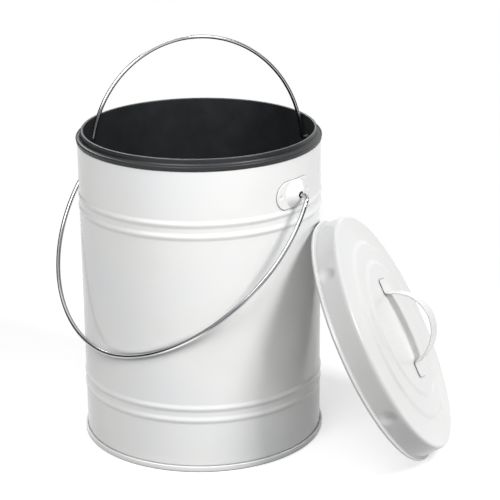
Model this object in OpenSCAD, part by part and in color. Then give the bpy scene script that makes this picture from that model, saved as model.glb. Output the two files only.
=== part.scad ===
// Kitchen scraps caddy: an enamelled steel bin with a carrying bail, a lift-out
// plastic liner with its own bail, and a loose steel lid that leans on the wall.
// The origin is the centre of the base on the floor. +X runs through the right ear.

/* [Body] */
// Outside diameter of the steel wall
body_d = 190; // [150:1:230]
// Height of the steel rim above the floor
body_h = 242; // [200:1:300]
// Thickness of the sheet steel in the wall and the base
sheet_t = 0.7; // [0.5:0.1:1.2]
// Height of the hem folded inwards at the rim
rim_hem_h = 6; // [4:0.5:10]
// How far the upper pair of beads lies below the rim
upper_bead_drop = 46.2; // [45:0.1:60]
// How far the lower pair of beads lies above the floor
lower_bead_rise = 47.6; // [30:0.1:70]
// Distance between the two beads of a pair
bead_pitch = 9.7; // [8:0.1:14]
// Width of one bead
bead_w = 6.2; // [4:0.1:7.5]
// How far a bead stands proud of the wall
bead_out = 0.9; // [0.4:0.1:1.5]

/* [Base] */
// How far the seam ring stands out from the wall
seam_out = 1.8; // [1:0.1:3]
// Height of the seam ring
seam_h = 4.6; // [3.5:0.1:8]
// Height of the base panel above the floor
panel_rise = 5.4; // [5:0.1:9]
// Diameter of the raised centre of the base panel
panel_step_d = 150; // [100:1:160]

/* [Ears] */
// Width of an ear plate along the wall
ear_w = 39.6; // [34:0.1:50]
// Height of an ear plate
ear_h = 22.4; // [18:0.1:26]
// Thickness of an ear plate
ear_t = 0.9; // [0.6:0.1:1.5]
// How far the boss centre lies below the rim
ear_drop = 27.7; // [24:0.1:30]
// Width of the domed boss at the plate
boss_d = 20; // [16:0.1:22]
// How far the boss stands out from the plate
boss_out = 5.4; // [4.8:0.1:7]
// Distance from the boss to each weld dimple along the wall
dimple_arc = 15.4; // [13:0.1:18]

/* [Carrying bail] */
// Diameter of the carrying bail's wire
bail_wire_d = 3.4; // [2.5:0.1:4.5]
// How far the bail's arms stand out from the wall at their pivots
bail_spread = 12.3; // [12:0.1:20]
// How much more the arms would open out, were the bow not closing at its end
bail_bulge = 20; // [8:0.1:22]
// Length over which the arms open out
bulge_len = 70.3; // [50:0.1:90]
// Reach of the bail from its pivots
bail_reach = 159.8; // [140:0.1:195]
// Sideways lean of the bail's bow, towards the left ear
bail_skew = 11.1; // [0:0.1:14]
// Roundness of the bow, where 2 is an ellipse
bail_power = 1.89; // [1.8:0.01:2.4]

/* [Liner] */
// Clearance between the liner and the rim hem all round
liner_gap = 2; // [1:0.1:4]
// Wall thickness of the liner
liner_wall = 1.5; // [1.2:0.1:2.5]
// Narrowing of the liner's radius from mouth to floor
liner_taper = 4.6; // [1:0.1:12]
// Clearance between the liner's floor and the base panel
liner_floor_gap = 5; // [2:0.5:20]
// How far the liner's flange overhangs the steel wall
flange_out = 1; // [0.5:0.1:2]
// Height of the flange's lip
lip_h = 3.5; // [2.5:0.1:5]
// Height of the collar above the rim
collar_h = 8.5; // [7:0.1:12]

/* [Liner bail] */
// Diameter of the liner bail's wire
liner_wire_d = 3; // [2.5:0.1:3.5]
// Clearance between the folded liner bail and the liner's wall
liner_bail_gap = 0.9; // [0.6:0.1:3]
// Depth of the liner bail's pivots below the rim
liner_pivot_drop = 9.1; // [8.5:0.1:16]
// Direction of the liner bail's pivot axis, counted from the right ear
liner_bail_turn = 60.2; // [20:0.1:150]
// Lean of the raised liner bail from upright
liner_bail_lean = 5.8; // [0:0.1:15]

/* [Lid] */
// Clearance between the lid's skirt and the liner's flange
lid_gap = 2.2; // [1.5:0.1:4]
// Height of the lid from its hem to the corner of its top
lid_corner_h = 20.5; // [18:0.1:30]
// How much the skirt narrows from its hem to its corner
lid_draft = 1.3; // [0:0.1:3]
// Radius of the rounded corner
lid_corner_r = 2.5; // [1:0.1:4]
// Rise of the top from its corner to its inner ring
lid_dome = 2.3; // [0:0.1:6]
// Diameter of the outer embossed ring
outer_ring_d = 147; // [140:1:160]
// Diameter of the inner embossed ring
inner_ring_d = 112; // [106:1:130]
// Rise at each embossed ring
ring_rise = 1.4; // [0.4:0.1:2.5]
// Diameter of the rolled hem
hem_d = 2.4; // [1.8:0.1:3.5]
// Number of grip dents around the skirt
dent_count = 5; // [3:1:8]
// Depth of a grip dent
dent_deep = 1.2; // [0.6:0.1:1.5]

/* [Lid handle] */
// Width of the strap
strap_w = 19; // [14:0.5:26]
// Thickness of the strap
strap_t = 1.2; // [0.8:0.1:2]
// Clear span of the arch where it meets the lid
arch_span = 56; // [48:1:64]
// Clear height under the arch
arch_rise = 24.5; // [20:0.5:27]
// Length of each foot
foot_len = 13; // [9:0.5:15]
// Direction of the handle across the lid
strap_turn = -16.9; // [-90:0.1:90]

/* [Leaning lid] */
// Lean of the lid's top from level
lean = 62.4; // [55:0.1:75]
// Direction in which the lid's top faces, counted from the right ear
lean_turn = 28.7; // [10:0.1:60]
// How far the lid stands off that direction, sideways
lean_offset = -8.4; // [-15:0.1:15]
// Least clearance between the lid's skirt and the hanging bail
arm_clear = 3; // [1:0.5:10]

/* [Hidden] */
$fn = 120;
// gap between loose pieces that rest on each other
rest_gap = 0.3;
// gap inside seams and under plates that are welded down
weld_gap = 0.1;
// running clearance of a wire in its hole, on the radius
pin_gap = 0.08;
// how far a cutting shape runs past the face it cuts
over = 5;

body_r = body_d / 2;
fold_t = 2 * sheet_t + 0.2;
mouth_r = body_r - fold_t;
pivot_z = body_h - ear_drop;
wire_r = bail_wire_d / 2;
upper_beads = body_h - upper_bead_drop;
bead_top = upper_beads + (bead_pitch + bead_w) / 2;

liner_or = mouth_r - liner_gap;
liner_ir = liner_or - liner_wall;
flange_z = body_h + rest_gap;
flange_r = body_r + flange_out;
collar_z = body_h + collar_h;
panel_lift = 1.5;
liner_floor_z = panel_rise + sheet_t + panel_lift + liner_floor_gap;
liner_floor_t = 2;
liner_pivot_z = body_h - liner_pivot_drop;
liner_wire_r = liner_wire_d / 2;
taper_h = flange_z - liner_floor_z;
pivot_ir = liner_ir - liner_taper * (flange_z - liner_pivot_z) / taper_h;
liner_bail_reach = pivot_ir - liner_wire_r - liner_bail_gap;
// half the width of the liner's bail, a little less than its reach
liner_bail_half = liner_bail_reach - 1;

skirt_or = flange_r + lid_gap + sheet_t;
hem_r = hem_d / 2;
hem_ring_r = skirt_or + hem_r - sheet_t / 4;
ring_w = 5;
corner_r = skirt_or - lid_draft;
lid_top_h = lid_corner_h + lid_dome + 2 * ring_rise;

// ---- helpers ----

// points on an arc of radius r about c, from angle a to angle b
function arc(c, r, a, b, n = 6) =
    [for (i = [0 : n]) c + r * [cos(a + (b - a) * i / n), sin(a + (b - a) * i / n)]];

// smooth step from 0 to 1
function ease(x) = let (t = max(0, min(1, x))) t * t * (3 - 2 * t);

function unit(v) = v / norm(v);

// the same polyline moved sideways by t, to the right of its direction
function beside(p, t) = [for (i = [0 : len(p) - 1])
    let (d = unit(p[min(i + 1, len(p) - 1)] - p[max(i - 1, 0)])) p[i] + t * [d.y, -d.x]];

// the same list from its end to its start
function turned(p) = [for (i = [len(p) - 1 : -1 : 0]) p[i]];

// a round wire along a flat path in the XY plane
module wire(path, r, sides = 12) {
    last = len(path) - 1;
    // corner radius that gives the facets the cross-section of a round wire
    c = r * sqrt(2 * PI / (sides * sin(360 / sides)));
    rings = [for (i = [0 : last])
        let (d = unit(path[min(i + 1, last)] - path[max(i - 1, 0)]), side = [-d.y, d.x])
        [for (k = [0 : sides - 1])
            let (a = 360 * k / sides)
            [path[i].x + c * cos(a) * side.x, path[i].y + c * cos(a) * side.y, c * sin(a)]]];
    points = [for (ring = rings) each ring];
    skin = [for (i = [0 : last - 1], k = [0 : sides - 1])
        let (a = i * sides + k, b = i * sides + (k + 1) % sides)
        each [[a, b + sides, b], [a, a + sides, b + sides]]];
    start = [for (k = [0 : sides - 1]) k];
    end = [for (k = [sides - 1 : -1 : 0]) last * sides + k];
    polyhedron(points, concat([start, end], skin), convexity = 6);
}

// ---- steel body ----

// one bead of the wall, as points from its foot to its head
function bead(z) =
    let (r = (bead_w * bead_w / 4 + bead_out * bead_out) / (2 * bead_out), a = asin(bead_w / 2 / r))
    arc([body_r + bead_out - r, z], r, -a, a, 8);

function bead_pair(z) = concat(bead(z - bead_pitch / 2), bead(z + bead_pitch / 2));

wall_foot_z = 1.4;
rim_round = fold_t / 2;

module body_shell() {
    wall = concat([[body_r, wall_foot_z]], bead_pair(lower_bead_rise), bead_pair(upper_beads),
        [[body_r, body_h - rim_hem_h - sheet_t]]);
    rim = concat(arc([body_r - rim_round, body_h - rim_round], rim_round, 0, 180, 8),
        [[mouth_r, body_h - rim_hem_h]]);
    color("whitesmoke") rotate_extrude()
        polygon(concat(wall, rim, turned([for (p = wall) p - [sheet_t, 0]])));
}

module base_pan() {
    ring_r = body_r + seam_out;
    slot_r = body_r - sheet_t - weld_gap;
    leg_r = slot_r - sheet_t;
    step_r = panel_step_d / 2;
    step_w = 4;
    foot_bevel = 0.6;
    foot_round = 1;
    top_round = 0.8;
    panel = [[0, panel_rise + panel_lift], [step_r, panel_rise + panel_lift],
        [step_r + step_w, panel_rise], [leg_r, panel_rise]];
    panel_top = concat([for (i = [0 : 2]) panel[i]], [[slot_r, panel_rise]]);
    color("whitesmoke") rotate_extrude() polygon(concat(
        panel,
        [[leg_r, foot_bevel], [leg_r + foot_bevel, 0]],
        arc([ring_r - foot_round, foot_round], foot_round, -90, 0, 4),
        arc([ring_r - top_round, seam_h - top_round], top_round, 0, 90, 4),
        [[body_r + weld_gap, seam_h], [body_r + weld_gap, wall_foot_z - weld_gap],
            [slot_r, wall_foot_z - weld_gap]],
        turned([for (p = panel_top) p + [0, sheet_t]])));
}

// ---- ears ----

boss_r = (boss_d * boss_d / 4 + boss_out * boss_out) / (2 * boss_out);
plate_r = body_r + weld_gap + ear_t;
boss_x = plate_r + boss_out - boss_r;
dimple_r = 3;
dimple_deep = 0.45;

module ear_plate() {
    intersection() {
        cylinder(r = plate_r, h = body_h);
        translate([0, 0, pivot_z]) rotate([90, 0, 90]) linear_extrude(body_r * 2) {
            for (side = [-1, 1]) translate([side * (ear_w - ear_h) / 2, 0]) circle(d = ear_h);
            square([ear_w - ear_h, ear_h], center = true);
        }
    }
}

module ear() {
    turn = dimple_arc / body_r * 180 / PI;
    color("whitesmoke") difference() {
        union() {
            ear_plate();
            translate([boss_x, 0, pivot_z]) sphere(r = boss_r);
        }
        cylinder(r = body_r + weld_gap, h = body_h + over);
        // the plate ends just above the upper bead
        cylinder(r = 2 * body_r, h = bead_top + weld_gap);
        translate([boss_x, 0, pivot_z]) sphere(r = boss_r - ear_t);
        translate([body_r, 0, pivot_z]) rotate([0, 90, 0])
            cylinder(r = wire_r + pin_gap, h = boss_out + ear_t + over, $fn = 48);
        for (side = [-1, 1]) rotate([0, 0, side * turn])
            translate([plate_r + dimple_r - dimple_deep, 0, pivot_z]) sphere(r = dimple_r, $fn = 32);
    }
}

module ear_right() ear();
module ear_left() mirror([1, 0, 0]) ear();

// ---- carrying bail ----

bail_bend = 4.5;
// straight wire between the bend and the pin
bail_tail = 2;
boss_tip = plate_r + boss_out;
// the upset head on the end of each pin, inside the boss
head_clear = 1.2;
head_t = 1.1;
head_r = wire_r + 1.2;
pin_start = boss_tip - ear_t - head_clear;

// a point of the bow, sideways and away from the pivots
function bow(t) = let (
    away = bail_reach * pow(sin(t), 2 / bail_power),
    half = (body_r + bail_spread + bail_bulge) * sign(cos(t)) * pow(abs(cos(t)), 2 / bail_power))
    [half - bail_bulge * cos(t) * exp(-away / bulge_len) - bail_skew * sin(t), away];

bow_t0 = asin(pow(bail_bend / bail_reach, bail_power / 2));

// the wall's radius for a wire that would touch it at height z, beads included
function wall_at(z) = let (beads = [for (pair = [lower_bead_rise, upper_beads], side = [-1, 1])
    abs(z - pair - side * bead_pitch / 2)])
    body_r + (min(beads) < bead_w / 2 + wire_r ? bead_out : 0);

// a point of the bail when it hangs at angle a from straight down
function bail_point(t, a) = let (p = bow(t)) [p.x, -p.y * sin(a), pivot_z - p.y * cos(a)];

// how far the bow then lies from the wall
function bow_gap(a) = min([for (t = [bow_t0 : 2 : 180 - bow_t0])
    let (p = bail_point(t, a)) norm([p.x, p.y]) - wall_at(p.z)]) - wire_r;

// the hanging angle at which the bow just rests on the wall
function hang(lo, hi, n) = n == 0 ? hi
    : let (mid = (lo + hi) / 2)
    bow_gap(mid) < rest_gap ? hang(mid, hi, n - 1) : hang(lo, mid, n - 1);

bail_hang = hang(10, 85, 24);
bow_steps = 64;

module carrying_bail() {
    bow_points = [for (i = [0 : bow_steps]) bow(bow_t0 + (180 - 2 * bow_t0) * i / bow_steps)];
    right_x = bow_points[0].x;
    left_x = bow_points[bow_steps].x;
    path = concat(
        [[right_x - bail_bend - bail_tail, 0]],
        arc([right_x - bail_bend, bail_bend], bail_bend, -90, 0, 6),
        [for (i = [1 : bow_steps - 1]) bow_points[i]],
        arc([left_x + bail_bend, bail_bend], bail_bend, 180, 270, 6),
        [[left_x + bail_bend + bail_tail, 0]]);
    color("silver") translate([0, 0, pivot_z]) rotate([-90 - bail_hang, 0, 0]) {
        wire(path, wire_r);
        for (side = [-1, 1]) {
            end_x = (side > 0 ? right_x : -left_x) - bail_bend - bail_tail / 2;
            translate([side * (pin_start - head_t / 2), 0, 0]) rotate([0, side * 90, 0]) {
                cylinder(r = wire_r, h = end_x - pin_start + head_t / 2, $fn = 48);
                cylinder(r = head_r, h = head_t, center = true, $fn = 48);
            }
        }
    }
}

// ---- liner ----

module liner_bucket() {
    foot_round = 5;
    bottom_or = liner_or - liner_taper;
    bottom_ir = bottom_or - liner_wall;
    floor_top = liner_floor_z + liner_floor_t;
    lip_round = 1;
    lip_bevel = 0.4;
    cove_r = 2.4;
    cove_sink = 0.6;
    collar_round = 0.7;
    // faces of the collar, outwards and inwards from the bucket's outside
    collar_out = 0.8;
    collar_in = 1.3;
    outside = concat(
        [[0, liner_floor_z]],
        arc([bottom_or - foot_round, liner_floor_z + foot_round], foot_round, -90, 0, 6),
        [[liner_or, flange_z]],
        [[flange_r - lip_bevel, flange_z]],
        arc([flange_r - lip_round, flange_z + lip_h - lip_round], lip_round, 0, 90, 5),
        arc([liner_or + collar_out + cove_r, flange_z + lip_h + cove_r - cove_sink],
            cove_r, 270, 180, 6),
        arc([liner_or + collar_out - collar_round, collar_z - collar_round],
            collar_round, 0, 90, 4));
    inside = concat(
        arc([liner_or - collar_in + collar_round, collar_z - collar_round],
            collar_round, 90, 180, 4),
        [[liner_ir, flange_z]],
        arc([bottom_ir - foot_round, floor_top + foot_round], foot_round, 0, -90, 6),
        [[0, floor_top]]);
    color([0.2, 0.21, 0.22]) difference() {
        rotate_extrude() polygon(concat(outside, inside));
        for (side = [0, 180])
            translate([0, 0, liner_pivot_z]) rotate([0, 90, liner_bail_turn + side])
            cylinder(r = liner_wire_r + pin_gap, h = body_r, $fn = 48);
    }
}

liner_bend = 2.6;
liner_tail = 0.6;
liner_bow_steps = 56;
// how far the wire's ends stand out through the liner's wall
liner_pin_out = 1.3;

function liner_bow(t) = [liner_bail_half * cos(t), liner_bail_reach * sin(t)];

module liner_bail() {
    t0 = asin(liner_bend / liner_bail_reach);
    bow_points = [for (i = [0 : liner_bow_steps])
        liner_bow(t0 + (180 - 2 * t0) * i / liner_bow_steps)];
    arm_x = bow_points[0].x;
    pin_x = arm_x + liner_bend + liner_tail / 2;
    path = concat(
        [[arm_x + liner_bend + liner_tail, 0]],
        arc([arm_x + liner_bend, liner_bend], liner_bend, 270, 180, 5),
        [for (i = [1 : liner_bow_steps - 1]) bow_points[i]],
        arc([-arm_x - liner_bend, liner_bend], liner_bend, 0, -90, 5),
        [[-arm_x - liner_bend - liner_tail, 0]]);
    color("silver") translate([0, 0, liner_pivot_z])
        rotate([0, 0, liner_bail_turn]) rotate([90 - liner_bail_lean, 0, 0]) {
            wire(path, liner_wire_r);
            for (side = [0, 180]) rotate([0, 0, side]) translate([pin_x, 0, 0]) rotate([0, 90, 0])
                cylinder(r = liner_wire_r, h = liner_or + liner_pin_out - pin_x, $fn = 48);
        }
}

// ---- lid, in its own frame: the mouth's centre at the origin and the top towards +Z ----

function lid_height(r) = lid_corner_h
    + lid_dome * ease((corner_r - r) / (corner_r - inner_ring_d / 2))
    + ring_rise * ease((outer_ring_d / 2 + ring_w / 2 - r) / ring_w)
    + ring_rise * ease((inner_ring_d / 2 + ring_w / 2 - r) / ring_w);

function ring_radii(d) = [for (i = [0 : 6]) d / 2 + ring_w / 2 - ring_w * i / 6];

// height of the dents above the hem, and direction of the first one
dent_h = 9.4;
dent_start = 217.1;
dent_tip_r = 4;
// how much a dent widens, against its depth
dent_flare = 2.5 / 1.5;
skirt_mid_r = skirt_or - lid_draft * dent_h / lid_corner_h;

// punches for the dents: cones along the skirt's radius, grown by t for the inner side
module lid_dents(t) {
    tip = dent_tip_r + t / 2;
    deep = dent_deep * 1.5;
    for (i = [0 : dent_count - 1]) rotate([0, 0, dent_start + 360 * i / dent_count])
        translate([skirt_mid_r - dent_deep - t, 0, dent_h]) rotate([0, 90, 0])
        cylinder(r1 = tip, r2 = tip + deep * dent_flare, h = deep, $fn = 40);
}

module lid_body() {
    rounding = arc([corner_r - lid_corner_r, lid_corner_h - lid_corner_r], lid_corner_r, 0, 86, 6);
    top_radii = concat([corner_r - lid_corner_r - 3, corner_r - 12], ring_radii(outer_ring_d),
        [(outer_ring_d + inner_ring_d) / 4], ring_radii(inner_ring_d));
    top = concat([for (r = top_radii) [r, lid_height(r)]], [[0, lid_top_h]]);
    outside = concat([[skirt_or, hem_r]], rounding, top);
    skin = beside(outside, -sheet_t);
    inside = concat([for (i = [0 : len(skin) - 2]) skin[i]], [[0, lid_top_h - sheet_t]]);
    difference() {
        union() {
            rotate_extrude() {
                polygon(concat(outside, turned(inside)));
                translate([hem_ring_r, hem_r]) circle(r = hem_r, $fn = 32);
            }
            intersection() {
                lid_dents(sheet_t);
                cylinder(r = corner_r - sheet_t / 2, h = lid_corner_h);
            }
        }
        lid_dents(0);
    }
}

strap_corner = 2.5;

module strap() {
    r = (arch_span * arch_span / 4 + arch_rise * arch_rise) / (2 * arch_rise);
    half = arch_span / 2 + foot_len;
    intersection() {
        translate([0, 0, lid_top_h]) rotate([90, 0, 0]) linear_extrude(strap_w, center = true) {
            difference() {
                translate([0, arch_rise - r]) circle(r = r + strap_t);
                translate([0, arch_rise - r]) circle(r = r);
                translate([-body_d, -body_d]) square([2 * body_d, body_d]);
            }
            for (side = [-1, 1])
                translate([side * (half + arch_span / 2) / 2, strap_t / 2])
                square([half - arch_span / 2, strap_t], center = true);
        }
        translate([0, 0, lid_top_h]) linear_extrude(arch_rise + over) {
            for (side = [-1, 1], edge = [-1, 1])
                translate([side * (half - strap_corner), edge * (strap_w / 2 - strap_corner)])
                circle(r = strap_corner, $fn = 32);
            square([2 * half, strap_w - 2 * strap_corner], center = true);
            square([2 * (half - strap_corner), strap_w], center = true);
        }
    }
}

// ---- the leaning lid ----

// distance from the bin's axis to the hem, for a lid whose mouth is centred at d
function lean_gap(d) = min([for (a = [-60 : 2 : 60]) norm([
    d * cos(lean_offset) - hem_ring_r * cos(a) * cos(lean) + hem_r * sin(lean),
    d * sin(lean_offset) + hem_ring_r * sin(a)])]) - hem_r - body_r;

// the distance at which the hem just rests on the wall
function lean_out(lo, hi, n) = n == 0 ? hi
    : let (mid = (lo + hi) / 2)
    lean_gap(mid) < rest_gap ? lean_out(mid, hi, n - 1) : lean_out(lo, mid, n - 1);

lid_out = lean_out(body_r, 2 * body_d, 24);
lid_rise = hem_ring_r * sin(lean) + hem_r * (1 - cos(lean));

// a point of the lid's skirt at height h and direction k, for a lid that faces turn
function skirt_point(turn, h, k) = let (
    place = turn + lean_offset,
    x = hem_ring_r * cos(k) * cos(lean) + h * sin(lean),
    y = hem_ring_r * sin(k))
    [lid_out * cos(place) + x * cos(turn) - y * sin(turn),
     lid_out * sin(place) + x * sin(turn) + y * cos(turn),
     lid_rise - hem_ring_r * cos(k) * sin(lean) + h * cos(lean)];

// the room between that skirt and the right arm of the hanging bail
function arm_room(turn) = min([for (t = [bow_t0 : 4 : 90], k = [0 : 6 : 354],
    h = [0, lid_corner_h / 2, lid_corner_h])
    norm(bail_point(t, bail_hang) - skirt_point(turn, h, k))]) - wire_r - hem_r;

// the least turn between two at which the lid clears the bail's arm
function clear_turn(lo, hi, n) = n == 0 ? hi
    : let (mid = (lo + hi) / 2)
    arm_room(mid) < arm_clear ? clear_turn(mid, hi, n - 1) : clear_turn(lo, mid, n - 1);

lid_turn = arm_room(lean_turn) < arm_clear ? clear_turn(lean_turn, 120, 10) : lean_turn;

module leaning() {
    place = lid_turn + lean_offset;
    translate([lid_out * cos(place), lid_out * sin(place), lid_rise])
        rotate([0, lean, lid_turn]) children();
}

module lid_shell() color("whitesmoke") leaning() lid_body();
module lid_handle() color("whitesmoke") leaning() rotate([0, 0, strap_turn]) strap();

body_shell();
base_pan();
ear_right();
ear_left();
carrying_bail();
liner_bucket();
liner_bail();
lid_shell();
lid_handle();
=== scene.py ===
import math

import bmesh
import bpy
from mathutils import Matrix, Vector


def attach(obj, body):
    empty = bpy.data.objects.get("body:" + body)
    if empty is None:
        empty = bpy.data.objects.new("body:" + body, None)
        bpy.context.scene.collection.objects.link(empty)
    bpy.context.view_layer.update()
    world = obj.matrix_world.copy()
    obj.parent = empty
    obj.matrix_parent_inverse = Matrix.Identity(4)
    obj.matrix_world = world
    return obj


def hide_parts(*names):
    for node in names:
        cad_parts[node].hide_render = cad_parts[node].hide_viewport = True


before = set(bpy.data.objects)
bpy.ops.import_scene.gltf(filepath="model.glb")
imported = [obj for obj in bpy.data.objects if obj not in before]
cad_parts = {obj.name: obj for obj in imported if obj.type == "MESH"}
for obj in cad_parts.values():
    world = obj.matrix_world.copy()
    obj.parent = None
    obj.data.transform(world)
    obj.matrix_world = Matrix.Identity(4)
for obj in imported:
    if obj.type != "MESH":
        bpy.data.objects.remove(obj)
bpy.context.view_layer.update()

# ---- Steel wall ----
# The wall is one sheet of 0.7 mm steel, rolled into a tube with two pairs of beads pressed out
# of it and its top edge folded inwards into a flat hem. It is coated white all over.

wall_r = 95.0
sheet = 0.7
rim_z = 242.0
hem_fold = 0.8
hem_drop = 6
wall_foot = 1.4
lower_beads, upper_beads = 47.6, rim_z - 46.2
half_pitch = 4.85
bead_up, bead_half = 0.75, 3.5


def arc(cx, cy, r, start, end, steps=8):
    """Points on an arc in the plane of an outline, angles in degrees."""
    turn = [math.radians(start + (end - start) * i / steps) for i in range(steps + 1)]
    return [(cx + r * math.cos(a), cy + r * math.sin(a)) for a in turn]


def supported(outline, inset=0.35, longest=12.0):
    """The outline with extra points near the ends of its long straight runs, to shade them flat."""
    made = [outline[0]]
    for a, b in zip(outline, outline[1:]):
        run = math.dist(a, b)
        if run > 3 * inset:
            cuts = [inset / run]
            count = int(run // longest)
            cuts += [k / (count + 1) for k in range(1, count + 1)]
            cuts += [1 - inset / run]
            made += [(a[0] + (b[0] - a[0]) * t, a[1] + (b[1] - a[1]) * t) for t in cuts]
        made.append(b)
    return made


def grid_mesh(name, rows, wrap_rows=False, wrap_columns=True, crease=38, space=None, place=None):
    """A smooth mesh through rows of points in millimetres. Points that fall together become one."""
    mesh = bpy.data.meshes.new(name)
    bm = bmesh.new()
    layer = bm.verts.layers.float_vector.new("wire_space") if space else None
    grid = []
    for i, row in enumerate(rows):
        grid.append([bm.verts.new(Vector(p) * 0.001) for p in row])
        if space:
            for k, v in enumerate(grid[-1]):
                v[layer] = space[i][k]
    height, width = len(grid), len(grid[0])
    for i in range(height if wrap_rows else height - 1):
        for k in range(width if wrap_columns else width - 1):
            below, above = grid[i], grid[(i + 1) % height]
            bm.faces.new((below[k], below[(k + 1) % width], above[(k + 1) % width], above[k]))
    bmesh.ops.remove_doubles(bm, verts=bm.verts, dist=1e-7)
    bmesh.ops.dissolve_degenerate(bm, edges=bm.edges, dist=1e-8)
    bmesh.ops.recalc_face_normals(bm, faces=bm.faces)
    if place:
        bm.transform(place)
    bm.to_mesh(mesh)
    bm.free()
    mesh.polygons.foreach_set("use_smooth", [True] * len(mesh.polygons))
    mesh.set_sharp_from_angle(angle=math.radians(crease))
    made = bpy.data.objects.new(name, mesh)
    bpy.context.scene.collection.objects.link(made)
    return made


def spun(outline, steps):
    """Rows of an outline of (radius, height) turned about the Z axis."""
    angles = [2 * math.pi * k / steps for k in range(steps)]
    return [[(r * math.cos(a), r * math.sin(a), z) for a in angles] for r, z in outline]


def bead_height(z):
    """How far the beads push the wall out at height z, as soft round ridges."""
    out = 0.0
    for pair in (lower_beads, upper_beads):
        for centre in (pair - half_pitch, pair + half_pitch):
            t = abs(z - centre) / bead_half
            if t < 1:
                out += bead_up * (0.5 + 0.5 * math.cos(math.pi * t))
    return out


def wall_heights():
    """Heights of the wall's rings of points, every 0.4 mm over the beads and few elsewhere."""
    near_beads = [0.4 * i - 9.6 for i in range(49)]
    heights = [wall_foot, wall_foot + 0.4, 10, 20, 30]
    heights += [lower_beads + d for d in near_beads]
    heights += [60, 80, 100, 120, 140, 160, 175]
    heights += [upper_beads + d for d in near_beads]
    return heights + [210, 222, 234.6]


outer = [(wall_r + bead_height(z), z) for z in wall_heights()]
rim = arc(wall_r - hem_fold, rim_z - hem_fold, hem_fold, 0, 180, 12)
hem_inside = [(wall_r - 2 * hem_fold, rim_z - hem_drop),
              (wall_r - sheet, rim_z - hem_drop - sheet)]
inner = [(r - sheet, z) for r, z in reversed(outer)]
wall_outline = outer + supported([outer[-1]] + rim + hem_inside)[1:] + inner
wall = grid_mesh("steel_wall", spun(wall_outline, 288), wrap_rows=True)


def linear(code):
    """Scene-linear colour of an sRGB hex code."""
    parts = [int(code[i:i + 2], 16) / 255 for i in (1, 3, 5)]
    parts = [c / 12.92 if c <= 0.04045 else ((c + 0.055) / 1.055) ** 2.4 for c in parts]
    return (*parts, 1.0)


def node(tree, kind, links=None, stops=None, **settings):
    """Adds a node with its settings, sets or links its sockets, and fills a ramp's stops."""
    made = tree.nodes.new(kind)
    for key, value in settings.items():
        setattr(made, key, value)
    for i, (position, code) in enumerate(stops or []):
        band = made.color_ramp.elements
        stop = band[0] if i == 0 else band[-1] if i == len(stops) - 1 else band.new(position)
        stop.position, stop.color = position, linear(code)
    for key, value in (links or {}).items():
        if isinstance(value, bpy.types.NodeSocket):
            tree.links.new(value, made.inputs[key])
        else:
            made.inputs[key].default_value = value
    return made


def new_material(name):
    """An empty node material with its output, ready for a shader."""
    made = bpy.data.materials.new(name)
    made.use_nodes = True
    made.node_tree.nodes.clear()
    return made, made.node_tree, made.node_tree.nodes.new("ShaderNodeOutputMaterial")


# White powder coat, sprayed and baked on the pressed steel. To the eye it is a hard, bright
# gloss that mirrors its surroundings softly, with a faint orange peel and hardly any colour.
coat, tree, out = new_material("white_powder_coat")
where = node(tree, "ShaderNodeTexCoord").outputs["Object"]
# film thickness drifts over about 70 mm and shifts the white by a shade
drift = node(tree, "ShaderNodeTexNoise", {"Vector": where, "Scale": 14.0, "Detail": 2.0})
white = node(tree, "ShaderNodeValToRGB", {"Fac": drift.outputs["Fac"]},
             stops=[(0.3, "#EEEEED"), (0.5, "#F2F2F1"), (0.7, "#F0F1F2")]).outputs["Color"]
# cloudy patches of slightly duller gloss, about 20 mm across
haze = node(tree, "ShaderNodeTexNoise", {"Vector": where, "Scale": 50.0, "Detail": 3.0})
gloss = node(tree, "ShaderNodeMapRange",
             {"Value": haze.outputs["Fac"], "From Min": 0.3, "From Max": 0.7,
              "To Min": 0.15, "To Max": 0.23})
# orange peel: real waves are 1 to 2 mm long, drawn at 4 mm so that they show
peel = node(tree, "ShaderNodeTexNoise", {"Vector": where, "Scale": 250.0, "Detail": 1.0})
bump = node(tree, "ShaderNodeBump",
            {"Height": peel.outputs["Fac"], "Strength": 0.12, "Distance": 0.00008})
# painted shade: ambient occlusion within 4 mm darkens the coat's colour towards grey in seams,
# under plates and at the foot of each bead
painted_crevice_shade = node(tree, "ShaderNodeAmbientOcclusion", {"Distance": 0.004}, samples=8)
open_air = node(tree, "ShaderNodeMapRange",
                {"Value": painted_crevice_shade.outputs["AO"], "From Min": 0.35, "From Max": 0.92})
with_painted_crevice_shade = node(tree, "ShaderNodeMix", {"Factor": open_air.outputs["Result"]}, data_type="RGBA")
# the grey that the painted crevice shade mixes in
with_painted_crevice_shade.inputs[6].default_value = linear("#B4B5B6")
tree.links.new(white, with_painted_crevice_shade.inputs[7])
# painted shade: right against a joint, within 1.6 mm, ambient occlusion darkens the colour further
# and draws a thin dark line there
joint_shade_ao = node(tree, "ShaderNodeAmbientOcclusion", {"Distance": 0.0016}, samples=8)
clear = node(tree, "ShaderNodeMapRange",
             {"Value": joint_shade_ao.outputs["AO"], "From Min": 0.35, "From Max": 0.82})
with_painted_joint_shade = node(tree, "ShaderNodeMix", {"Factor": clear.outputs["Result"]}, data_type="RGBA")
# the dark grey of the painted joint shade
with_painted_joint_shade.inputs[6].default_value = linear("#606162")
tree.links.new(with_painted_crevice_shade.outputs[2], with_painted_joint_shade.inputs[7])
shader = node(tree, "ShaderNodeBsdfPrincipled",
              {"Base Color": with_painted_joint_shade.outputs[2], "Roughness": gloss.outputs["Result"], "IOR": 1.5,
               "Normal": bump.outputs["Normal"]})
tree.links.new(shader.outputs["BSDF"], out.inputs["Surface"])
wall.data.materials.append(coat)
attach(wall, "bin")
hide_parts("body_shell")

# ---- Base pan ----
# The base is a pressed steel panel with a raised centre. Its edge is rolled round the wall's foot
# into a seam ring, which the bin stands on. It has the same white coat.

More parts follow.
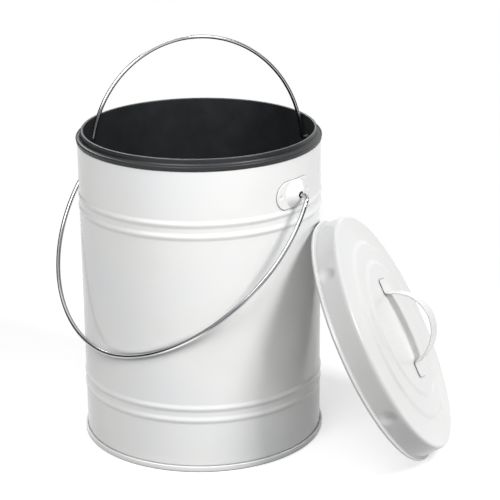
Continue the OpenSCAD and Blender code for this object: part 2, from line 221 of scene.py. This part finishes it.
# left between pieces that are folded or welded together
fixed_gap = 0.1
seam_r = wall_r + 1.8
seam_top, seam_slot = 4.6, 1.3
foot_bevel, foot_round, top_round = 0.6, 1, 0.7
leg_r = wall_r - 2 * sheet - fixed_gap
panel_edge, panel_lift = 5.4, 1.5
step_in, step_out = 75, 79
panel = [(0, panel_edge + panel_lift), (step_in, panel_edge + panel_lift),
         (step_out, panel_edge), (leg_r, panel_edge)]
seam = [(leg_r, foot_bevel), (leg_r + foot_bevel, 0)]
seam += arc(seam_r - foot_round, foot_round, foot_round, -90, 0, 8)
seam += arc(seam_r - top_round, seam_top - top_round, top_round, 0, 90, 8)
seam += [(wall_r + fixed_gap, seam_top), (wall_r + fixed_gap, seam_slot)]
seam += [(leg_r + sheet, seam_slot)]
panel_top = [(r, z + sheet) for r, z in reversed(panel[:3])]
base_outline = supported(panel + seam + [(leg_r + sheet, panel_edge + sheet)] + panel_top)
base = grid_mesh("base_seam_and_panel", spun(base_outline, 288))
base.data.materials.append(coat)
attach(base, "bin")
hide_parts("base_pan")

# ---- Ears ----
# Each ear is a pressed steel plate with rounded ends, curved to the wall and spot-welded to it
# at two small dimples. Its rim stands a hair off the wall, and the coat's painted shade draws a
# thin dark line round it. The domed boss in its middle has a hole at its tip for the wire.

pivot_z = 214.3
plate_t = 0.9
plate_half, plate_end = 8.6, 11.2
# the plate is cut straight at its foot, just above the upper bead
ear_foot = upper_beads + half_pitch + 3.1 + fixed_gap
edge_round = 0.6
boss_r, boss_out, boss_blend = 10, 5.4, 4.0
boss_ball = (boss_r ** 2 + boss_out ** 2) / (2 * boss_out)
weld_at, weld_r, weld_deep = 15.4, 2.1, 0.6
# the hole is 1.8 mm in radius, drawn wider so that its dark ring shows round the wire
hole_r = 2.6
rim_gap = 0.35


def ear_edge(turn):
    """Distance from the boss to the plate's outline in the direction turn, along the wall."""
    x, y = math.cos(turn), math.sin(turn)
    reach = plate_end / max(abs(y), 1e-6)
    if abs(x) * reach > plate_half:
        b = plate_half * abs(x)
        reach = b + math.sqrt(b * b - plate_half ** 2 + plate_end ** 2)
    if y < 0:
        reach = min(reach, (pivot_z - ear_foot) / -y)
    return reach


def ear_height(d, turn, edge):
    """How far the ear's front stands out from its back, d from the boss."""
    close = min(1.0, max(0.0, (edge - d) / edge_round))
    plate = rim_gap + (plate_t - rim_gap) * math.sqrt(1 - (1 - close) ** 2)
    dome = boss_out + plate_t - boss_ball + math.sqrt(max(0.0, boss_ball ** 2 - d * d))
    high = max(plate, dome)
    gap = min(1.0, abs(plate - dome) / boss_blend)
    high += boss_blend * (1 - gap) ** 2 * 0.25 * close
    for weld in (-weld_at, weld_at):
        off = math.dist((d * math.cos(turn), d * math.sin(turn)), (weld, 0)) / weld_r
        if off < 1:
            high -= weld_deep * (1 - off * off) ** 2
    return high


def ear_rows(side):
    """Rings of points round the boss: over the front, round the edge and back inside the boss."""
    turns = [2 * math.pi * k / 240 for k in range(240)]
    front, back = [], []
    for i in range(61):
        row_front, row_back = [], []
        for turn in turns:
            edge = ear_edge(turn)
            d = hole_r + (edge - hole_r) * i / 60
            r = wall_r + fixed_gap
            tall = ear_height(d, turn, edge)
            dome = boss_out - boss_ball + math.sqrt(max(0.0, (boss_ball - plate_t) ** 2 - d * d))
            hollow = min(max(dome + plate_t, rim_gap), tall - 0.05)
            along = d * math.cos(turn) / wall_r
            z = pivot_z + d * math.sin(turn)
            for row, out_r in ((row_front, r + tall), (row_back, r + hollow)):
                row.append((side * out_r * math.cos(along), out_r * math.sin(along), z))
        front.append(row_front)
        back.append(row_back)
    return front + back[::-1]


ear_plates = []
for side, name in ((1, "right"), (-1, "left")):
    ear = grid_mesh("ear_plate_" + name, ear_rows(side), wrap_rows=True, crease=50)
    ear.data.materials.append(coat)
    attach(ear, "bin")
    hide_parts("ear_" + name)
    ear_plates.append(ear)

# ---- Carrying bail ----
# The bail is one length of hard-drawn steel wire, 3.4 mm thick, bent into a wide bow and
# nickel-plated. Its ends turn in through the bosses and are upset into small heads there.

bail_wire = 1.7
bail_spread, bail_bulge, bulge_len = 12.3, 20.0, 70.3
bail_reach = 159.8
bail_skew = 11.1
bail_power = 1.89
bail_bend = 4.5
bail_hang = 38.145


def bail_bow(t):
    """A point of the bow, sideways and away from the pivots."""
    away = bail_reach * math.sin(t) ** (2 / bail_power)
    half = (wall_r + bail_spread + bail_bulge) * abs(math.cos(t)) ** (2 / bail_power)
    x = math.copysign(half, math.cos(t)) - bail_bulge * math.cos(t) * math.exp(-away / bulge_len)
    return (x - bail_skew * math.sin(t), away)


def wire_sweep(name, path, radii, place, sides=24):
    """A round wire of given radii along a flat path, closed at both ends, with a grain space."""
    rows, space, run = [], [], 0.0
    last = len(path) - 1
    for i, (x, y) in enumerate(path):
        before, after = path[max(i - 1, 0)], path[min(i + 1, last)]
        dx, dy = after[0] - before[0], after[1] - before[1]
        size = math.hypot(dx, dy)
        nx, ny = -dy / size, dx / size
        run += math.dist(path[max(i - 1, 0)], (x, y))
        turns = [2 * math.pi * k / sides for k in range(sides)]
        r = radii[i]
        rows.append([(x + r * math.cos(a) * nx, y + r * math.cos(a) * ny, r * math.sin(a))
                     for a in turns])
        space.append([(run, r * math.cos(a), r * math.sin(a)) for a in turns])
    for end, at in ((0, path[0]), (len(rows), path[-1])):
        rows.insert(end, [(at[0], at[1], 0.0)] * sides)
        space.insert(end, [(run if end else 0.0, 0.0, 0.0)] * sides)
    return grid_mesh(name, rows, crease=50, space=space, place=place)


t0 = math.asin((bail_bend / bail_reach) ** (bail_power / 2))
bow = [bail_bow(t0 + (math.pi - 2 * t0) * i / 220) for i in range(221)]
right_x, left_x = bow[0][0], bow[-1][0]
# the upset heads are 1.1 mm thick, with their edges broken
pin_in = wall_r + fixed_gap + boss_out - 1.2
path = [(pin_in + x, 0) for x in (-1.1, -1.05, -0.05, 0, 0.1)]
path += [(right_x - bail_bend - 0.5, 0)]
path += arc(right_x - bail_bend, bail_bend, bail_bend, -90, 0, 14) + bow[1:-1]
path += arc(left_x + bail_bend, bail_bend, bail_bend, 180, 270, 14)
path += [(left_x + bail_bend + 0.5, 0)] + [(-x, y) for x, y in reversed(path[:5])]
radii = [bail_wire] * len(path)
for i, r in enumerate((2.6, 2.9, 2.9, 2.6)):
    radii[i] = radii[-1 - i] = r
hanging = Matrix.Translation((0, 0, pivot_z * 0.001))
hanging = hanging @ Matrix.Rotation(math.radians(-90 - bail_hang), 4, "X")
bail = wire_sweep("carrying_bail_wire", path, radii, hanging)

# Bright nickel plate over drawn wire. To the eye it is a neutral grey mirror, streaked along its
# length by the drawing die, with dark and bright lines where it mirrors the room. The streaks in
# its colour are partly die lines and partly painted reflection: dark and light bands that stand in
# for the dark edge lines a mirror-bright wire shows.
plate, tree, out = new_material("nickel_plated_wire")
grain = node(tree, "ShaderNodeAttribute", attribute_name="wire_space").outputs["Vector"]
# die lines are under 0.1 mm apart; drawn 0.6 mm apart and 50 mm long so that they show.
# The same bands also serve as painted reflection lines running along the wire
lines = node(tree, "ShaderNodeVectorMath", {0: grain, 1: (0.012, 1.0, 1.0)}, operation="MULTIPLY")
streak = node(tree, "ShaderNodeTexNoise",
              {"Vector": lines.outputs["Vector"], "Scale": 1.8, "Detail": 1.0})
# painted reflection: the colour runs from dark to light grey along the streaks, partly die lines
# and partly painted dark and bright reflection lines
die_lines_and_painted_reflections = node(tree, "ShaderNodeValToRGB", {"Fac": streak.outputs["Fac"]},
            stops=[(0.36, "#66676A"), (0.5, "#B6B6B7"), (0.6, "#D2D2D2")]).outputs["Color"]
shine = node(tree, "ShaderNodeMapRange",
             {"Value": streak.outputs["Fac"], "From Min": 0.3, "From Max": 0.7,
              "To Min": 0.07, "To Max": 0.13})
groove = node(tree, "ShaderNodeBump",
              {"Height": streak.outputs["Fac"], "Strength": 0.05, "Distance": 0.0001})
shader = node(tree, "ShaderNodeBsdfPrincipled",
              {"Base Color": die_lines_and_painted_reflections, "Metallic": 1.0, "Roughness": shine.outputs["Result"],
               "Normal": groove.outputs["Normal"]})
tree.links.new(shader.outputs["BSDF"], out.inputs["Surface"])
bail.data.materials.append(plate)
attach(bail, "carrier")
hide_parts("carrying_bail")

# ---- Liner bucket ----
# The liner is a thin bucket, moulded in one shot from dark polypropylene. It hangs in the bin by
# a flange with a rounded lip, and above a hollow cove its collar stands up inside the lid.

liner_r = 91.4
liner_wall = 1.5
flange_z = rim_z + 0.3
flange_r = wall_r + 1
collar_z = rim_z + 8.5
liner_floor, floor_t, floor_round = 12.6, 2, 5
bottom_r = liner_r - 4.6
lip_round, cove_r, collar_round = 1, 2.4, 0.7
outside = [(0, liner_floor)]
outside += arc(bottom_r - floor_round, liner_floor + floor_round, floor_round, -90, 0, 10)
outside += [(liner_r, flange_z), (flange_r - 0.4, flange_z)]
outside += arc(flange_r - lip_round, flange_z + 2.5, lip_round, 0, 90, 8)
outside += arc(liner_r + 3.2, flange_z + 5.3, cove_r, 270, 180, 10)
outside += arc(liner_r + 0.1, collar_z - collar_round, collar_round, 0, 90, 6)
inside = arc(liner_r - 0.6, collar_z - collar_round, collar_round, 90, 180, 6)
inside += [(liner_r - liner_wall, flange_z)]
inside += arc(bottom_r - liner_wall - floor_round, liner_floor + floor_t + floor_round,
              floor_round, 0, -90, 10)
inside += [(0, liner_floor + floor_t)]
liner = grid_mesh("liner_bucket_moulding", spun(supported(outside + inside), 240))

# Polypropylene from a lightly textured mould. To the eye it is a satin charcoal with a soft
# sheen on its lip, a little scuffed inside.
plastic, tree, out = new_material("moulded_charcoal_polypropylene")
where = node(tree, "ShaderNodeTexCoord").outputs["Object"]
# scuffs and wipe marks, in patches of about 17 mm
scuff = node(tree, "ShaderNodeTexNoise",
             {"Vector": where, "Scale": 60.0, "Detail": 5.0, "Roughness": 0.6})
dark = node(tree, "ShaderNodeValToRGB", {"Fac": scuff.outputs["Fac"]},
            stops=[(0.3, "#1C1D1F"), (0.55, "#202224"), (0.75, "#25272A")]).outputs["Color"]
satin = node(tree, "ShaderNodeMapRange",
             {"Value": scuff.outputs["Fac"], "From Min": 0.3, "From Max": 0.7,
              "To Min": 0.38, "To Max": 0.44})
# mould texture of about 0.5 mm, drawn at 1.2 mm
stipple = node(tree, "ShaderNodeTexNoise", {"Vector": where, "Scale": 800.0, "Detail": 1.0})
bump = node(tree, "ShaderNodeBump",
            {"Height": stipple.outputs["Fac"], "Strength": 0.15, "Distance": 0.0001})
shader = node(tree, "ShaderNodeBsdfPrincipled",
              {"Base Color": dark, "Roughness": satin.outputs["Result"], "IOR": 1.49,
               "Normal": bump.outputs["Normal"]})
tree.links.new(shader.outputs["BSDF"], out.inputs["Surface"])
liner.data.materials.append(plastic)
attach(liner, "liner")
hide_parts("liner_bucket")

# ---- Liner bail ----
# A second, thinner wire, 3 mm thick, is sprung into two holes in the liner's wall. It is drawn
# and plated as the carrying bail is, and stands up on its own stiffness.

thin_wire = 1.5
thin_reach = 87.306
thin_half = thin_reach - 1
thin_bend = 2.6
thin_drop = 9.1
thin_turn, thin_lean = 60.2, 5.8
t0 = math.asin(thin_bend / thin_reach)
bow = [(thin_half * math.cos(t0 + (math.pi - 2 * t0) * i / 160),
        thin_reach * math.sin(t0 + (math.pi - 2 * t0) * i / 160)) for i in range(161)]
arm_x = bow[0][0]
path = [(liner_r + 1.3, 0), (liner_r + 1.2, 0), (arm_x + thin_bend + 0.3, 0)]
path += arc(arm_x + thin_bend, thin_bend, thin_bend, 270, 180, 10) + bow[1:-1]
path += arc(-arm_x - thin_bend, thin_bend, thin_bend, 0, -90, 10)
path += [(-x, y) for x, y in reversed(path[:3])]
radii = [thin_wire] * len(path)
radii[0] = radii[-1] = thin_wire - 0.1
standing = Matrix.Translation((0, 0, (rim_z - thin_drop) * 0.001))
standing = standing @ Matrix.Rotation(math.radians(thin_turn), 4, "Z")
standing = standing @ Matrix.Rotation(math.radians(90 - thin_lean), 4, "X")
thin_bail = wire_sweep("liner_bail_wire", path, radii, standing, sides=20)
thin_bail.data.materials.append(plate)
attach(thin_bail, "inner_bail")
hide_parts("liner_bail")

# ---- Lid shell ----
# The lid is one deep pressing of sheet steel with two raised rings round a flat middle, a rolled
# hem, and shallow grip dents knocked into its skirt. It has the same white coat as the bin.

skirt_r = flange_r + 2.2 + sheet
draft = 1.3
corner_r = skirt_r - draft
corner_h = 20.5
lid_round = 2.5
crown = 2.3
hem_r = 1.2
hem_at = skirt_r + hem_r - sheet / 4
outer_ring, inner_ring = 73.5, 56.0
ring_w, ring_up = 5.0, 1.4
lid_top = corner_h + crown + 2 * ring_up
dents, dent_start, dent_h, dent_r, dent_deep = 5, 217.1, 9.4, 7.4, 1.6


def ease(x):
    """Smooth step from 0 to 1."""
    x = max(0.0, min(1.0, x))
    return x * x * (3 - 2 * x)


def lid_height(r):
    """Height of the lid's top at radius r, with its slight crown and its two raised rings."""
    high = corner_h + crown * ease((corner_r - r) / (corner_r - inner_ring))
    for ring in (outer_ring, inner_ring):
        high += ring_up * ease((ring + ring_w / 2 - r) / ring_w)
    return high


def dent_depth(turn, h):
    """Depth of the grip dents at a place on the skirt."""
    deep = 0.0
    for i in range(dents):
        centre = math.radians(dent_start + 360 / dents * i)
        off = (turn - centre + math.pi) % (2 * math.pi) - math.pi
        d = math.hypot(off * skirt_r, h - dent_h) / dent_r
        if d < 1:
            deep += dent_deep * (1 - d * d) ** 2
    return deep


# rings of points: a small fillet over the hem, the skirt every 0.5 mm, then close over the
# shoulder and each raised ring, and few elsewhere
skirt = [(skirt_r + 0.3, 2.4), (skirt_r + 0.02, 2.7)]
skirt += [(skirt_r - draft * h / corner_h, h) for h in [3.1 + 0.5 * i for i in range(30)]]
shoulder = arc(corner_r - lid_round, corner_h - lid_round, lid_round, 2, 84, 12)
radii = [corner_r - 3, corner_r - 4, corner_r - 8, corner_r - 14]
radii += [outer_ring + ring_w / 2 - 0.3 * i for i in range(18)] + [68, 64]
radii += [inner_ring + ring_w / 2 - 0.3 * i for i in range(18)] + [50, 40, 30, 20, 10, 4, 0]
top = [(r, lid_height(r)) for r in radii]
face = skirt + shoulder + top
# the hem is rolled outwards, from the skirt over the top and down to its foot
hem = [(hem_at + hem_r * math.cos(a), hem_r + hem_r * math.sin(a))
       for a in [math.radians(111 - 11 * i) for i in range(20)]]
under = []
for i, (r, z) in enumerate(face):
    a, b = face[max(i - 1, 0)], face[min(i + 1, len(face) - 1)]
    size = math.dist(a, b)
    dx, dy = (b[0] - a[0]) / size, (b[1] - a[1]) / size
    under.append((max(0.0, r - sheet * dy), z + sheet * dx) if r > 0.1 else (0.0, z - sheet))
outline = under[::-1] + hem[::-1] + face
rows = []
columns = 470
dent_zone = 19.5
for r, z in outline:
    row = []
    for k in range(columns):
        a = 2 * math.pi * k / columns
        reach = r - (dent_depth(a, z) if r > corner_r - 2.4 and z < dent_zone else 0.0)
        row.append((reach * math.cos(a), reach * math.sin(a), z))
    rows.append(row)
lean = math.radians(62.4)
lean_turn = math.radians(28.7)
lid_place = lean_turn - math.radians(8.4)
lid_out, lid_rise = 142.562, 89.198
lid_at = Vector((lid_out * math.cos(lid_place), lid_out * math.sin(lid_place), lid_rise)) * 0.001
leaning = Matrix.Translation(lid_at) @ Matrix.Rotation(lean_turn, 4, "Z")
leaning = leaning @ Matrix.Rotation(lean, 4, "Y")
lid = grid_mesh("lid_pressing", rows, place=leaning)
lid.data.materials.append(coat)
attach(lid, "lid")
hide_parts("lid_shell")

# ---- Lid handle ----
# The handle is a strap of 1.2 mm steel, bent into a round arch with two flat feet, spot-welded to
# the lid's flat middle before coating. Its edges are soft under the coat.

strap_w, strap_t = 19.0, 1.2
arch_rise, arch_half = 24.5, 28.0
arch_ball = (arch_half ** 2 + arch_rise ** 2) / (2 * arch_rise)
foot_end = arch_half + 13.0
start = math.degrees(math.asin((arch_ball - arch_rise) / arch_ball))
mid = arch_ball + strap_t / 2
bend = 2.4
foot_x = mid * math.cos(math.radians(start)) + bend
foot_corner = 2.5
arch_edge, foot_edge = 0.3, 0.55
strap_turn = -16.9
# half of the strap's middle line, with close points over the rounded corners of its foot
right = [(foot_end - d, strap_t / 2) for d in (0, 0.15, 0.4, 0.8, 1.3, 1.9, 2.6, 3.2)]
right += [(foot_x + 0.3, strap_t / 2)]
for i in range(1, 6):
    a = math.radians(90 * i / 6)
    right += [(foot_x - bend * math.sin(a), strap_t / 2 + bend * (1 - math.cos(a)))]
over = arc(0, arch_rise - arch_ball, mid, start + 9, 180 - start - 9, 60)
line = right + over + [(-x, z) for x, z in reversed(right)]
rows = []
ends = len(line) - 1
for i, (x, z) in enumerate(line):
    a, b = line[max(i - 1, 0)], line[min(i + 1, ends)]
    size = math.dist(a, b)
    nx, nz = -(b[1] - a[1]) / size, (b[0] - a[0]) / size
    half_w = strap_w / 2
    reach = min(foot_end - abs(x), foot_corner)
    if reach < foot_corner:
        half_w -= foot_corner - math.sqrt(foot_corner ** 2 - (foot_corner - reach) ** 2)
    edge = foot_edge if abs(x) > foot_x else arch_edge
    section = []
    for cx, cy, first in ((1, 1, 0), (-1, 1, 90), (-1, -1, 180), (1, -1, 270)):
        flat_w = cx * (half_w - edge)
        section += arc(flat_w, cy * (strap_t / 2 - edge), edge, first, first + 90, 4)
        if first in (0, 180):
            section += [(flat_w * k, cy * strap_t / 2) for k in (0.96, 0.5, 0, -0.5, -0.96)]
    rows.append([(x + nx * t, w, z + nz * t) for w, t in section])
for end in (0, len(rows)):
    flat = rows[end - 1 if end else 0]
    middle = [sum(p[k] for p in flat) / len(flat) for k in range(3)]
    rows.insert(end, [tuple(middle)] * len(flat))
turned = Matrix.Rotation(math.radians(strap_turn), 4, "Z")
handle_at = leaning @ Matrix.Translation((0, 0, (lid_top + 0.02) * 0.001)) @ turned
handle = grid_mesh("lid_strap_handle", rows, crease=50, place=handle_at)
handle.data.materials.append(coat)
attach(handle, "lid")
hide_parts("lid_handle")

# ---- Studio ----
# A white table in a white room. A soft key lamp is on the right, a fill near the camera is kept
# off the lid, and a lamp behind is kept off the table. Three dark cards, which only reflections
# see, give the bright wire its edges.


def flat_mesh(name, faces):
    """A stage object made of separate four-sided faces, in metres."""
    bm = bmesh.new()
    for corners in faces:
        bm.faces.new([bm.verts.new(c) for c in corners])
    bmesh.ops.remove_doubles(bm, verts=bm.verts, dist=1e-5)
    mesh = bpy.data.meshes.new(name)
    bm.to_mesh(mesh)
    bm.free()
    made = bpy.data.objects.new(name, mesh)
    bpy.context.scene.collection.objects.link(made)
    return made


def shown_rays(tree):
    """1 on rays from the camera, a mirror or glass, and 0 on the rays that light things."""
    rays = node(tree, "ShaderNodeLightPath").outputs
    two = node(tree, "ShaderNodeMath", {0: rays["Is Camera Ray"], 1: rays["Is Glossy Ray"]},
               operation="MAXIMUM")
    three = node(tree, "ShaderNodeMath", {0: two.outputs["Value"], 1: rays["Is Transmission Ray"]},
                 operation="MAXIMUM")
    return three.outputs["Value"]


floor_half, floor_z = 9, -0.0002
floor_edge = [(x * floor_half, y * floor_half, floor_z)
              for x, y in ((-1, -1), (1, -1), (1, 1), (-1, 1))]
floor = flat_mesh("white_table", [floor_edge])
paper, tree, out = new_material("white_seamless_paper")
# fibres of the paper, a shade apart and 1 mm across
where = node(tree, "ShaderNodeTexCoord").outputs["Object"]
fibre = node(tree, "ShaderNodeTexNoise", {"Vector": where, "Scale": 900.0, "Detail": 1.0})
sheet_white = node(tree, "ShaderNodeValToRGB", {"Fac": fibre.outputs["Fac"]},
                   stops=[(0.3, "#D1D1D1"), (0.7, "#D5D5D5")]).outputs["Color"]
bounce = node(tree, "ShaderNodeBsdfDiffuse", {"Color": linear("#868686")})
# near the bin the paper glows a little, so that lit paper is white and only shadows show
matt = node(tree, "ShaderNodeBsdfDiffuse", {"Color": sheet_white})
glow = node(tree, "ShaderNodeEmission", {"Color": (1, 1, 1, 1), "Strength": 1.0})
half_glow = node(tree, "ShaderNodeEmission", {"Color": (1, 1, 1, 1), "Strength": 0.57})
near = node(tree, "ShaderNodeAddShader",
            {0: matt.outputs["BSDF"], 1: half_glow.outputs["Emission"]})
# between 0.25 and 0.5 m from the bin's middle it fades into plain white
reach = node(tree, "ShaderNodeVectorMath", {0: where}, operation="LENGTH")
fade = node(tree, "ShaderNodeMapRange",
            {"Value": reach.outputs["Value"], "From Min": 0.25, "From Max": 0.5},
            interpolation_type="SMOOTHSTEP")
seen_paper = node(tree, "ShaderNodeMixShader",
                  {0: fade.outputs["Result"], 1: near.outputs["Shader"],
                   2: glow.outputs["Emission"]})
both = node(tree, "ShaderNodeMixShader",
            {0: shown_rays(tree), 1: bounce.outputs["BSDF"], 2: seen_paper.outputs["Shader"]})
tree.links.new(both.outputs["Shader"], out.inputs["Surface"])
floor.data.materials.append(paper)

room = bpy.data.worlds.new("white_room")
bpy.context.scene.world = room
room.use_nodes = True
tree = room.node_tree
tree.nodes.clear()
out = node(tree, "ShaderNodeOutputWorld")
level = node(tree, "ShaderNodeMapRange",
             {"Value": shown_rays(tree), "To Min": 0.29, "To Max": 1.0})
sky = node(tree, "ShaderNodeBackground",
           {"Color": (1, 1, 1, 1), "Strength": level.outputs["Result"]})
tree.links.new(sky.outputs["Background"], out.inputs["Surface"])


object_middle = Vector((0.04, 0.02, 0.12))


def soft_lamp(name, azimuth, elevation, size, power, off=1.8, only=()):
    """A square soft lamp, off metres away, that lights everything, or only some pieces."""
    a, e = math.radians(azimuth), math.radians(elevation)
    away = Vector((math.sin(a) * math.cos(e), -math.cos(a) * math.cos(e), math.sin(e)))
    data = bpy.data.lights.new(name, "AREA")
    data.shape, data.size, data.energy = "SQUARE", size, power
    lamp = bpy.data.objects.new(name, data)
    lamp.location = object_middle + away * off
    lamp.rotation_mode = "QUATERNION"
    lamp.rotation_quaternion = (-away).to_track_quat("-Z", "Y")
    bpy.context.scene.collection.objects.link(lamp)
    if only:
        lit = bpy.data.collections.new(name + "_lights")
        for piece in only:
            lit.objects.link(piece)
        lamp.light_linking.receiver_collection = lit


soft_lamp("key_softbox", 93, 43, 0.5, 21)
bin_pieces = (wall, base, *ear_plates, bail, liner, thin_bail)
soft_lamp("fill_softbox", 16, 44, 0.7, 9.8, off=1.25, only=(*bin_pieces, floor))
soft_lamp("back_softbox", 238, 40, 0.8, 20, only=(*bin_pieces, lid, handle))

# matt black felt on the cards, which a reflection shows as a deep grey with a faint nap that
# varies over about 25 mm
felt, tree, out = new_material("black_card_felt")
where = node(tree, "ShaderNodeTexCoord").outputs["Object"]
nap = node(tree, "ShaderNodeTexNoise", {"Vector": where, "Scale": 40.0, "Detail": 2.0})
black = node(tree, "ShaderNodeValToRGB", {"Fac": nap.outputs["Fac"]},
             stops=[(0.3, "#141414"), (0.7, "#242424")]).outputs["Color"]
shader = node(tree, "ShaderNodeBsdfDiffuse", {"Color": black})
tree.links.new(shader.outputs["BSDF"], out.inputs["Surface"])


def dark_card(name, start, end, low, high, away):
    """A curved black card at a distance, between two azimuths, that only reflections see."""
    strips, count = [], 12
    for i in range(count):
        a, b = (math.radians(start + (end - start) * k / count) for k in (i, i + 1))
        feet = [Vector((away * math.sin(t), -away * math.cos(t), 0)) for t in (a, b)]
        strips.append([feet[0] + Vector((0, 0, low)), feet[1] + Vector((0, 0, low)),
                       feet[1] + Vector((0, 0, high)), feet[0] + Vector((0, 0, high))])
    card = flat_mesh(name, strips)
    card.visible_camera = card.visible_diffuse = card.visible_shadow = False
    card.data.materials.append(felt)


dark_card("card_left", 225, 348, 0.02, 0.75, 0.9)
dark_card("card_right", 92, 145, 0.02, 0.75, 0.9)
dark_card("card_by_the_camera", 28, 54, 0.3, 1.1, 1.6)

# The camera stands 1.49 m from the bin's foot and looks down by 19 degrees. It is turned 41.3
# degrees from square to the ears' line. Its focal length is given in pixels of the picture.
turn = math.radians(41.3)
yaw, pitch, roll = 0.02875, 0.33294, -0.00914
forward = Vector((math.sin(yaw) * math.cos(pitch), math.cos(yaw) * math.cos(pitch),
                  -math.sin(pitch)))
sideways = Vector((math.cos(yaw), -math.sin(yaw), 0))
upward = sideways.cross(forward)
camera_x = math.cos(roll) * sideways + math.sin(roll) * upward
camera_y = -math.sin(roll) * sideways + math.cos(roll) * upward
aim = Matrix((camera_x, camera_y, -forward)).transposed().to_4x4()
round_z = Matrix.Rotation(turn, 4, "Z")
lens = bpy.data.cameras.new("camera")
focal_px, picture_px = 1797.67, 500
lens.sensor_width = 36.0
lens.lens = focal_px / picture_px * lens.sensor_width
camera = bpy.data.objects.new("camera", lens)
camera.matrix_world = round_z @ Matrix.Translation((0, -1.35596, 0.61705)) @ aim
bpy.context.scene.collection.objects.link(camera)
bpy.context.scene.camera = camera
bpy.context.scene.view_settings.view_transform = "Standard"
